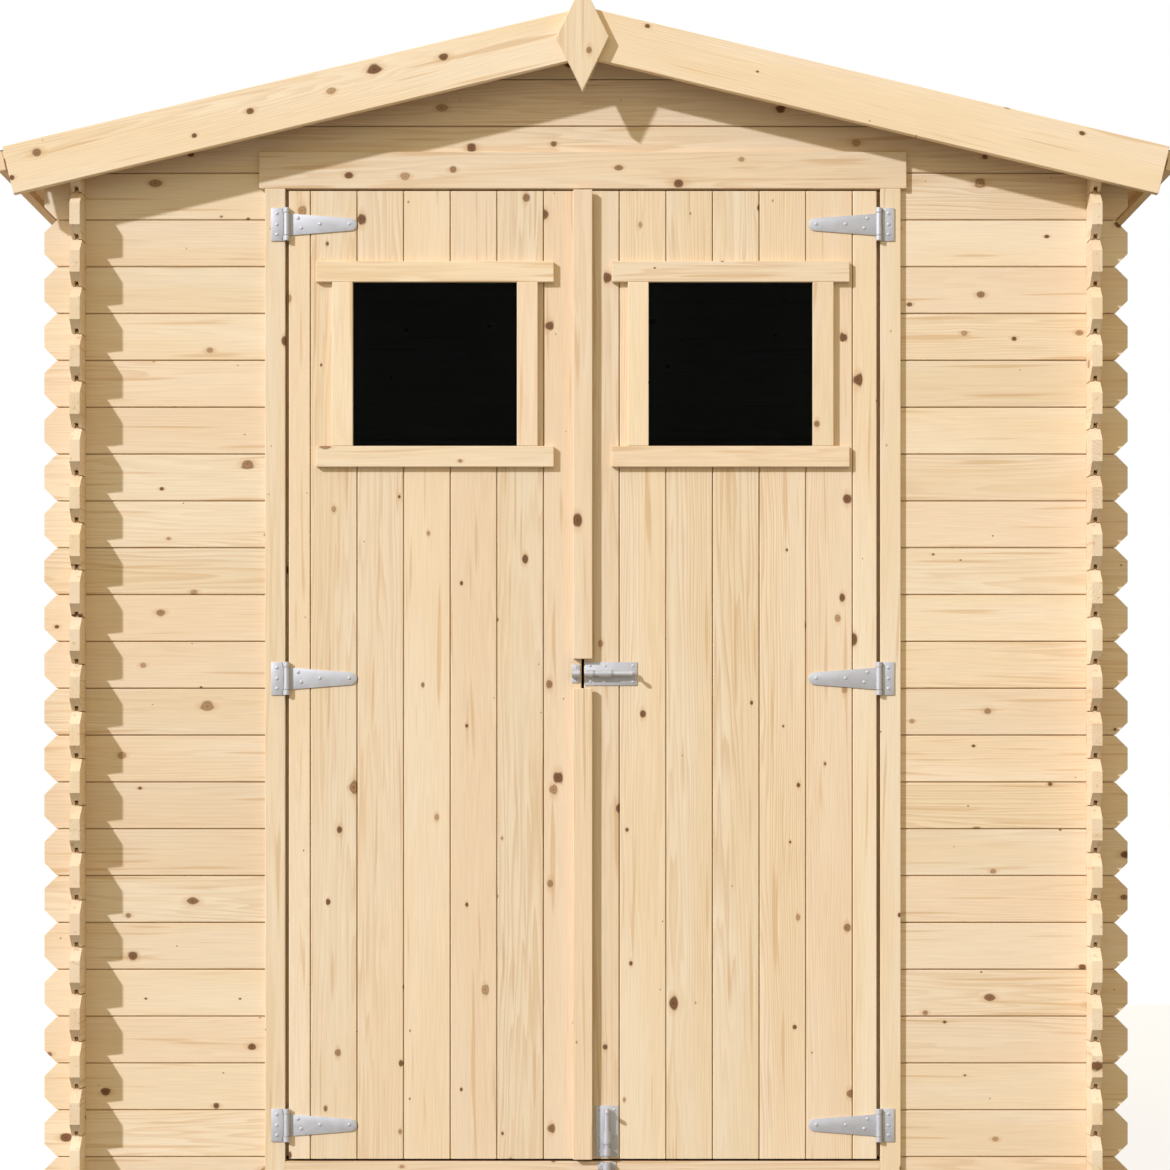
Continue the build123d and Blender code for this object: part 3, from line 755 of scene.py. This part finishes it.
class SHED_OT_roof(bpy.types.Operator):
    """Covers the roof with boards and strips of felt"""
    bl_idname = "shed.roof"
    bl_label = "Roof"

    def execute(self, context):
        sizes, pitch = context.scene.shed_logs, context.scene.shed_roof.pitch
        past_ridge = 50 * MM        # boards start beyond the ridge, and are sawn plumb there
        felt = 2 * MM               # thickness of the felt in the solids
        ridge, t = roof_line(pitch)
        u_end = (roof_high.x - t * math.sin(pitch)) / math.cos(pitch)
        plumb = ((0, 0, 0), (-math.cos(pitch), 0, -math.sin(pitch)))
        felt_end = (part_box("roof_felt_right")[1].x - (t + felt) * math.sin(pitch)) / math.cos(pitch)
        for name, seed, side in (("left", 41, -1), ("right", 42, 1)):
            down = Vector((side * math.cos(pitch), 0, -math.sin(pitch)))
            out = Vector((side * math.sin(pitch), 0, math.cos(pitch)))
            timber = Timber(seed)
            laid_boards(timber, sizes, -END_Y, END_Y, t, -past_ridge, u_end, (0, 0, ridge), down, Y, out,
                        [plumb])
            timber.finish("roof_planks_" + name, context, "board_wood", ["roof_boards_" + name])
            self.lay_felt(context, name, (down, out, ridge), t, felt_end)
        return {"FINISHED"}

    def lay_felt(self, context, name, slope, t, reach):
        """Lays and nails the felt in strips from the eaves up, each lapping over the one below."""
        roof = context.scene.shed_roof
        down, out, ridge = slope
        count = math.ceil(reach / roof.felt_strip)
        step = (reach - roof.lap) / count
        base = t + 0.1 * MM
        top = base + roof.felt_t
        bend = roof.lap * 1.4       # where a strip comes down beyond its lap
        bm = bmesh.new()
        nails = Steel()
        turn = Z.rotation_difference(out).to_matrix().to_4x4()
        for i in range(count):
            low = reach - i * step
            high = low - step - roof.lap
            lift = roof.felt_t * 1.15 if i else 0
            points = [(low, base + lift), (low, top + lift), (low - bend, top + lift * 0.9), (high, top),
                      (high, base), (low - bend, base + lift * 0.9)]
            if i == count - 1:
                points[3:5] = [(-v * math.tan(roof.pitch), v) for v in (top, base)]
            rows = [[Vector((0, y, ridge)) + u * down + v * out for u, v in points]
                    for y in (-END_Y, END_Y)]
            bmesh.ops.recalc_face_normals(bm, faces=bar(bm, rows))
            up = t + roof.felt_t * (2.15 if i else 1)
            for k in range(roof.nails):
                y = (2 * k / (roof.nails - 1) - 1) * (END_Y - roof.nail_in)
                place = Vector((0, y, ridge)) + (low - roof.nail_up) * down + up * out
                nails.turned([(r * roof.nail_r, h * roof.nail_r) for r, h in NAIL],
                             Matrix.Translation(place) @ turn, 12)
        place_piece(to_mesh(bm, "felt_strips_" + name), context, "roofing_felt", ["roof_felt_" + name])
        nails.finish("felt_nails_" + name, context, [])


class SHED_OT_trims(bpy.types.Operator):
    """Makes the barge boards, finials, eave boards and the boards round the doorway"""
    bl_idname = "shed.trims"
    bl_label = "Trims"

    def execute(self, context):
        names = ["front_barge_left", "front_barge_right", "back_barge_left", "back_barge_right",
                 "front_finial", "back_finial", "left_eave_board", "right_eave_board",
                 "door_header_board", "door_sill_board", "left_jamb_board", "right_jamb_board"]
        for seed, name in enumerate(names, 51):
            dress(name, seed, context, "trim_wood")
        return {"FINISHED"}


class SHED_OT_frame(bpy.types.Operator):
    """Makes the door frame, the purlins and the floor"""
    bl_idname = "shed.frame"
    bl_label = "Frame and floor"

    def execute(self, context):
        for seed, name in enumerate(("door_posts", "door_head", "purlins", "floor_joists"), 71):
            dress(name, seed, context, "frame_wood")
        low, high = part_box("floor_boards")
        timber = Timber(76)
        laid_boards(timber, context.scene.shed_logs, low.y, high.y, high.z - low.z, low.x, high.x,
                    (0, 0, high.z), X, Y, -Z)
        timber.finish("floor_planks", context, "board_wood", ["floor_boards"])
        return {"FINISHED"}


# Doors

class SHED_OT_leaves(bpy.types.Operator):
    """Makes the planks, ledges and meeting batten of both leaves"""
    bl_idname = "shed.leaves"
    bl_label = "Door leaves"

    def execute(self, context):
        sizes, doors = context.scene.shed_logs, context.scene.shed_doors
        for side, seed, first in (("left", 81, doors.left_first), ("right", 82, doors.right_first)):
            node, body = side + "_door_leaf", side + "_leaf"
            low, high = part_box(node)
            holes_x, holes_z = levels(node, 0), levels(node, 2)
            hole = ((holes_z[1], holes_x[1], -FAR), (holes_z[2], holes_x[2], FAR))
            lines = [low.x, low.x + first]
            while lines[-1] + doors.plank < high.x - MM:
                lines.append(lines[-1] + doors.plank)
            lines.append(high.x)
            timber = Timber(seed)
            for i, (a, b) in enumerate(zip(lines, lines[1:])):
                start = a + (sizes.gap / 2 if i else 0)
                stop = b - (sizes.gap / 2 if b < high.x else 0)
                section = tongued(start, stop, high.y - low.y, (sizes.vee, sizes.vee), sizes.plank_vee,
                                  sizes.board_tongue, sizes.board_rise, i > 0, b < high.x)
                board = prism(section, low.z, high.z)
                if stop > hole[0][1] and start < hole[1][1]:
                    carve(board, [hole])
                timber.add(board, (0, low.y, 0), Z, X, Y)
            timber.finish(side + "_leaf_planks", context, "door_wood", [node], body)
            dress(side + "_door_ledges", seed + 2, context, "door_wood", body)
        dress("meeting_batten", 86, context, "trim_wood", "left_leaf")
        return {"FINISHED"}


class SHED_OT_windows(bpy.types.Operator):
    """Makes the boards round the panes, and glazes them"""
    bl_idname = "shed.windows"
    bl_label = "Windows"

    def execute(self, context):
        for side, seed in (("left", 91), ("right", 92)):
            node = side + "_window_boards"
            xs, ys, zs = (levels(node, axis) for axis in range(3))
            outer, frame_x, bead_x, glass_x = xs[:4]
            width = xs[-1] + xs[0]
            front, back, bead_front, bead_back = ys
            low, bead_z, glass_z = zs[:3]
            glass_top, bead_top, top = zs[-3:]
            timber = Timber(seed)
            rings = ((outer, frame_x, front, back, low, top),
                     (bead_x, bead_x, bead_front, bead_back, bead_z, bead_top))
            for rail_x, stile_x, y0, y1, foot, head in rings:
                for z0, z1 in ((foot, glass_z), (glass_top, head)):
                    self.board(context, timber, (rail_x, z0, y0), (width - rail_x, z1, y1), X, Z)
                for x0, x1 in ((stile_x, glass_x), (width - glass_x, width - stile_x)):
                    self.board(context, timber, (glass_z, x0, y0), (glass_top, x1, y1), Z, X)
            timber.finish(side + "_window_frame", context, "trim_wood", [node], side + "_leaf")
            pane_node = frame["nodes"][side + "_window_glass"]
            pane_node.material_slots[0].material = material("window_glass", context)
        return {"FINISHED"}

    def board(self, context, timber, low, high, along, across):
        """A rail or a stile, with corners given as (along, across, into)."""
        board = boxes_mesh([(low, high)])
        ease(board, context.scene.shed_logs.soft)
        timber.add(board, (0, 0, 0), along, across, Y)


# Steel

class Steel:
    """Rolled, pressed and round pieces of steel that go into one mesh."""

    def __init__(self):
        self.bm = bmesh.new()

    def take(self, bm, place=Matrix.Identity(4)):
        bm.transform(place)
        bmesh.ops.recalc_face_normals(bm, faces=bm.faces)
        mesh = to_mesh(bm, "part")
        self.bm.from_mesh(mesh)
        bpy.data.meshes.remove(mesh)

    def box(self, low, high, soft=0.5 * MM):
        bm = boxes_mesh([(low, high)])
        ease(bm, soft)
        self.take(bm)

    def sheet(self, outline, y0, y1, soft):
        """A plate cut to an outline of (x, z) points."""
        bm = bmesh.new()
        bar(bm, [[(x, y, z) for x, z in outline] for y in (y0, y1)])
        bmesh.ops.recalc_face_normals(bm, faces=bm.faces)
        ease(bm, soft, angle=40)
        self.take(bm)

    def turned(self, profile, place=Matrix.Identity(4), sides=28):
        """A round piece from (radius, height) points, with its axis along the placed Z."""
        bm = bmesh.new()
        rings = []
        for r, h in profile:
            turns = [math.tau * i / sides for i in range(sides if r else 1)]
            rings.append([bm.verts.new((r * math.cos(a), r * math.sin(a), h)) for a in turns])
        for low, high in zip(rings, rings[1:]):
            for i in range(sides):
                j = (i + 1) % sides
                if len(low) == 1:
                    bm.faces.new((low[0], high[i], high[j]))
                elif len(high) == 1:
                    bm.faces.new((low[i], low[j], high[0]))
                else:
                    bm.faces.new((low[i], low[j], high[j], high[i]))
        self.take(bm, place)

    def rod(self, start, stop, r, soft, sides=28):
        """A round rod between two points."""
        way = Vector(stop) - Vector(start)
        place = Matrix.Translation(start) @ way.to_track_quat("Z", "Y").to_matrix().to_4x4()
        end = way.length
        profile = [(0, 0), (r - soft, 0), (r, soft), (r, end - soft), (r - soft, end), (0, end)]
        self.turned(profile, place, sides)

    def screw(self, x, y, z, r, draw):
        """A pan-head screw that faces the front, with a cross recess turned by chance."""
        head = Steel()
        height, sunk = r * 0.36, 0.4 * MM
        arc = [(r * math.cos(a), height * math.sin(a)) for a in (math.radians(d) for d in (0, 22, 45, 68))]
        head.turned([(0, -sunk), (r, -sunk)] + arc + [(0, height)], sides=24)
        slot_w, slot_l, slot_foot = r * 0.13, r * 0.55, height * 0.35
        carve(head.bm, [((-a, -b, slot_foot), (a, b, 1)) for a, b in ((slot_l, slot_w), (slot_w, slot_l))])
        turn = Matrix.Rotation(math.pi / 2, 4, "X") @ Matrix.Rotation(draw.uniform(0, 1.5), 4, "Z")
        self.take(head.bm, Matrix.Translation((x, y, z)) @ turn)

    def finish(self, name, context, nodes, body="root"):
        mesh = to_mesh(self.bm, name)
        mesh.shade_smooth()
        mesh.set_sharp_from_angle(angle=math.radians(35))
        place_piece(mesh, context, "zinc_steel", nodes, body)


# Screws of a hinge, in millimetres from its pin
STRAP_SCREWS = ((21, 12), (27, -6.5), (62, 1), (117, 1))
PLATE_SCREWS = (20.6, 0, -18.5)


class SHED_OT_hinges(bpy.types.Operator):
    """Makes the six T-hinges with their screws"""
    bl_idname = "shed.hinges"
    bl_label = "Hinges"

    def execute(self, context):
        draw = random.Random(101)
        joints = {j["name"]: j for j in frame["joints"]}
        plates = Steel()
        plate_low, plate_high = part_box("hinge_plates")
        for side, limit in (("left", 1), ("right", 0)):
            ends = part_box(side + "_hinge_straps")
            pin_x, pin_y, _ = joints[side + "_leaf_hinge"]["pos_m"]
            middles = self.middles("left_hinge_straps")
            halves = (plate_high.z - middles[-1], ends[1].z - middles[-1])
            tip = ends[limit].x - pin_x
            reach = (plate_low, plate_high)[1 - limit].x - pin_x
            strap = Steel()
            for z in middles:
                self.hinge(context, plates, strap, Vector((pin_x, pin_y, z)), tip, reach, halves, draw)
            strap.finish(side + "_hinge_arms", context, [side + "_hinge_straps"], side + "_leaf")
        plates.finish("hinge_jamb_plates", context, ["hinge_plates"])
        return {"FINISHED"}

    def middles(self, node):
        """The middle height of each hinge, from the lowest up."""
        found = []
        for z in levels(node, 2):
            if found and z - found[-1][-1] < APART:
                found[-1].append(z)
            else:
                found.append([z])
        return [(group[0] + group[-1]) / 2 for group in found]

    def hinge(self, context, plates, strap, pin, tip, reach, halves, draw):
        """One hinge. The strap ends at tip and the plate at reach, both from the pin, with a sign."""
        sizes, screw_r = context.scene.shed_hinges, context.scene.shed_doors.screw_r
        half_plate, half_strap = halves
        knuckle = FACE_Y - pin.y
        front = FACE_Y - sizes.sheet
        way = 1 if tip > 0 else -1
        edge = -way * (knuckle + MM)

        def plate(offsets, heights, soft):
            (x0, x1), (z0, z1) = sorted(offsets), sorted(heights)
            plates.box((pin.x + x0, front, z0), (pin.x + x1, FACE_Y, z1), soft)

        def roll(steel, low, high, r=knuckle, soft=0.7 * MM, sides=28):
            steel.rod((pin.x, pin.y, low), (pin.x, pin.y, high), r, soft, sides)

        plate((edge, reach), (pin.z - half_plate, pin.z + half_plate), 0.7 * MM)
        for side in (-1, 1):
            inner, outer = pin.z + side * (half_strap + sizes.gap), pin.z + side * half_plate
            roll(plates, inner, outer)
            plate((0, edge * 1.3), (inner, outer), 0.3 * MM)
        roll(plates, pin.z - half_plate, pin.z + half_plate, sizes.pin_r, 0.3 * MM, 20)
        for rise in PLATE_SCREWS:
            plates.screw(pin.x - way * sizes.screw_x, front, pin.z + rise * MM, screw_r, draw)
        round_x = pin.x + tip - way * sizes.tip_r
        arc = [(round_x + way * sizes.tip_r * math.cos(a), pin.z + sizes.tip_r * math.sin(a))
               for a in (math.pi * (0.5 - i / 12) for i in range(13))]
        outline = [(pin.x, pin.z - half_strap), (pin.x, pin.z + half_strap)] + arc
        strap.sheet(outline, front, FACE_Y, 0.6 * MM)
        roll(strap, pin.z - half_strap, pin.z + half_strap)
        for x, rise in STRAP_SCREWS:
            strap.screw(pin.x + way * x * MM, front, pin.z + rise * MM, screw_r, draw)


# The knob of a bolt, as (radius, height) in millimetres
KNOB = ((0, 0), (2.6, 0), (2.4, 9), (3.4, 12), (4, 15), (3.7, 18), (2.2, 19.6), (0, 20))
# Where the two guides start and end along a bolt's plate, in millimetres
GUIDES = ((4, 16), (26, 50))


class SHED_OT_bolts(bpy.types.Operator):
    """Makes the slide bolt, the foot bolt and their keepers"""
    bl_idname = "shed.bolts"
    bl_label = "Bolts"

    def execute(self, context):
        bolts = context.scene.shed_bolts
        draw = random.Random(111)
        plates = Steel()
        for name, axis, turn in (("main", 0, 0), ("foot", 2, -math.pi / 2)):
            low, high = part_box(name + "_bolt_rod")
            origin = (low + high) / 2
            origin.y = FACE_Y
            origin[axis] = low[axis]
            place = Matrix.Translation(origin) @ Matrix.Rotation(turn, 4, "Y")
            length = getattr(bolts, name + "_length")
            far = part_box(name + "_bolt_keeper")[0][axis] - origin[axis]
            self.plate(context, plates, place, length, getattr(bolts, name + "_width"), draw)
            rod = Steel()
            rod.take(self.rod(bolts, length), place)
            rod.finish(name + "_bolt_bar", context, [name + "_bolt_rod"], name + "_bolt")
            keeper = Steel()
            keeper.take(self.keeper(context, far, draw), place)
            keeper.finish(name + "_bolt_staple", context, [name + "_bolt_keeper"],
                          "left_leaf" if name == "main" else "root")
        plates.finish("bolt_back_plates", context, ["bolt_plates"], "right_leaf")
        return {"FINISHED"}

    def loop(self, steel, bolts, x0, x1, bore, wall):
        """A guide pressed from strip: an arch over the rod with feet on the plate."""
        outer = bore + wall
        arc = [math.pi * i / 14 for i in range(15)]
        points = [(-outer, -bolts.plate_t)]
        points += [(outer * -math.cos(a), -bolts.lift - outer * math.sin(a)) for a in arc]
        points += [(outer, -bolts.plate_t), (bore, -bolts.plate_t)]
        points += [(bore * math.cos(a), -bolts.lift - bore * math.sin(a)) for a in arc]
        points += [(-bore, -bolts.plate_t)]
        bm = bmesh.new()
        bar(bm, [[(x, y, z) for z, y in points] for x in (x0, x1)])
        steel.take(bm)

    def plate(self, context, steel, place, length, width, draw):
        bolts, screw_r = context.scene.shed_bolts, context.scene.shed_doors.bolt_screw_r
        made = Steel()
        made.box((0, -bolts.plate_t, -width / 2), (length, 0, width / 2), 0.7 * MM)
        for x0, x1 in GUIDES:
            self.loop(made, bolts, x0 * MM, x1 * MM, bolts.guide_r, bolts.guide_t)
        rise = width / 2 - bolts.screw_in
        for x in (bolts.screw_first, bolts.screw_second, length - bolts.screw_last):
            for side in (-1, 1):
                made.screw(x, -bolts.plate_t, side * rise, screw_r, draw)
        steel.take(made.bm, place)

    def rod(self, bolts, length):
        """The rod and its knob, in the bolt's own place."""
        made = Steel()
        made.rod((0, -bolts.lift, 0), (length - bolts.rod_short, -bolts.lift, 0), bolts.rod_r, 1.2 * MM)
        place = Matrix.Translation((length - bolts.knob_in, -bolts.lift, 0))
        made.turned([(r * MM, h * MM) for r, h in KNOB], place @ Matrix.Rotation(math.pi / 2, 4, "X"))
        return made.bm

    def keeper(self, context, far, draw):
        """The staple that the rod runs into, far along the bolt."""
        bolts, screw_r = context.scene.shed_bolts, context.scene.shed_doors.keeper_screw_r
        made = Steel()
        self.loop(made, bolts, far, far + bolts.keeper_width, bolts.keeper_r, bolts.keeper_t)
        for side in (-1, 1):
            z0, z1 = sorted((side * bolts.keeper_r, side * bolts.keeper_foot))
            made.box((far, -bolts.plate_t, z0), (far + bolts.keeper_width, 0, z1))
            made.screw(far + bolts.keeper_width / 2, -bolts.plate_t, side * bolts.keeper_screw, screw_r,
                       draw)
        return made.bm


# Stage

class SHED_OT_stage(bpy.types.Operator):
    """Sets the floor, the light and the camera"""
    bl_idname = "shed.stage"
    bl_label = "Stage"

    def execute(self, context):
        scene, stage = context.scene, context.scene.shed_stage
        half = stage.floor / 2
        mesh = bpy.data.meshes.new("floor")
        mesh.from_pydata([(-half, -half, 0), (half, -half, 0), (half, half, 0), (-half, half, 0)], [],
                         [(0, 1, 2, 3)])
        mesh.materials.append(self.floor_finish())
        linked("floor", mesh)
        lamp = bpy.data.lights.new("key", "SUN")
        lamp.energy = stage.key
        lamp.color = stage.key_tint
        lamp.angle = stage.spread
        linked("key", lamp).rotation_euler = Vector(stage.light).to_track_quat("-Z", "Y").to_euler()
        self.sky(scene, stage)
        data = bpy.data.cameras.new("camera")
        data.lens = stage.lens
        data.sensor_width = 36
        data.shift_x, data.shift_y = stage.shift
        data.clip_end = 200
        scene.camera = linked("camera", data)
        scene.camera.location = stage.camera
        scene.camera.rotation_euler = (math.pi / 2, 0, 0)
        scene.view_settings.view_transform = "Standard"
        return {"FINISHED"}

    def floor_finish(self):
        """A pale floor that the camera sees as nearly white, with the shadow kept."""
        s = Shader("pale_floor")
        at = s.place()
        speckle = s.fit(s.noise(at, (3, 3, 3), 3.0), 0.3, 0.7)
        tint = s.mix(speckle, (0.24, 0.24, 0.24), (0.26, 0.26, 0.26))
        s.sockets(Base_Color=tint, Roughness=0.9, Specular_IOR_Level=0.1)
        seen = s.add("ShaderNodeBsdfDiffuse", {"Color": (1.0, 1.0, 1.0)}).outputs[0]
        white = s.add("ShaderNodeEmission", {"Color": (1.0, 1.0, 1.0), "Strength": 1.1}).outputs[0]
        soft = s.add("ShaderNodeMixShader", {0: 0.3, 1: white, 2: seen}).outputs[0]
        ray = s.add("ShaderNodeLightPath").outputs["Is Camera Ray"]
        both = s.add("ShaderNodeMixShader", {0: ray, 1: s.surface.outputs[0], 2: soft}).outputs[0]
        s.put(s.tree.nodes["Material Output"].inputs["Surface"], both)
        return s.material

    def sky(self, scene, stage):
        """An even light from all round, which the camera sees as white."""
        world = bpy.data.worlds.new("sky")
        world.use_nodes = True
        tree = world.node_tree
        path = tree.nodes.new("ShaderNodeLightPath").outputs
        shade = None
        for name, value in (("Is Glossy Ray", (stage.mirrored,) * 3), ("Is Transmission Ray", (1, 1, 1)),
                            ("Is Camera Ray", (1, 1, 1))):
            mix = tree.nodes.new("ShaderNodeMix")
            mix.data_type = "RGBA"
            mix.inputs[7].default_value = (*value, 1)
            if shade:
                tree.links.new(shade, mix.inputs[6])
            else:
                mix.inputs[6].default_value = (*stage.fill, 1)
            tree.links.new(path[name], mix.inputs[0])
            shade = mix.outputs[2]
        tree.links.new(shade, tree.nodes["Background"].inputs["Color"])
        scene.world = world


class SHED_PT_panel(bpy.types.Panel):
    """Lists the steps that build the shed"""
    bl_idname = "SHED_PT_panel"
    bl_label = "Garden shed"
    bl_space_type = "VIEW_3D"
    bl_region_type = "UI"
    bl_category = "Shed"

    def draw(self, context):
        for step in steps:
            self.layout.operator(step.bl_idname)
        for name in groups:
            box = self.layout.box()
            values = getattr(context.scene, name)
            for field in values.__annotations__:
                box.prop(values, field)


groups = {"shed_logs": LogSizes, "shed_roof": RoofSizes, "shed_doors": DoorSizes,
          "shed_hinges": HingeSizes, "shed_bolts": BoltSizes, "shed_wood": WoodColours,
          "shed_other": OtherColours, "shed_stage": StageSizes}
steps = [SHED_OT_front_walls, SHED_OT_back_wall, SHED_OT_side_walls, SHED_OT_roof, SHED_OT_trims,
         SHED_OT_frame, SHED_OT_leaves, SHED_OT_windows, SHED_OT_hinges, SHED_OT_bolts, SHED_OT_stage]


def register():
    for kind in [*groups.values(), *steps, SHED_PT_panel]:
        bpy.utils.register_class(kind)
    for name, kind in groups.items():
        setattr(bpy.types.Scene, name, PointerProperty(type=kind))


def unregister():
    for name in groups:
        delattr(bpy.types.Scene, name)
    for kind in [SHED_PT_panel, *steps[::-1], *groups.values()]:
        bpy.utils.unregister_class(kind)


def main():
    register()
    for step in steps:
        getattr(bpy.ops.shed, step.bl_idname.split(".")[1])()


if __name__ == "__main__":
    main()
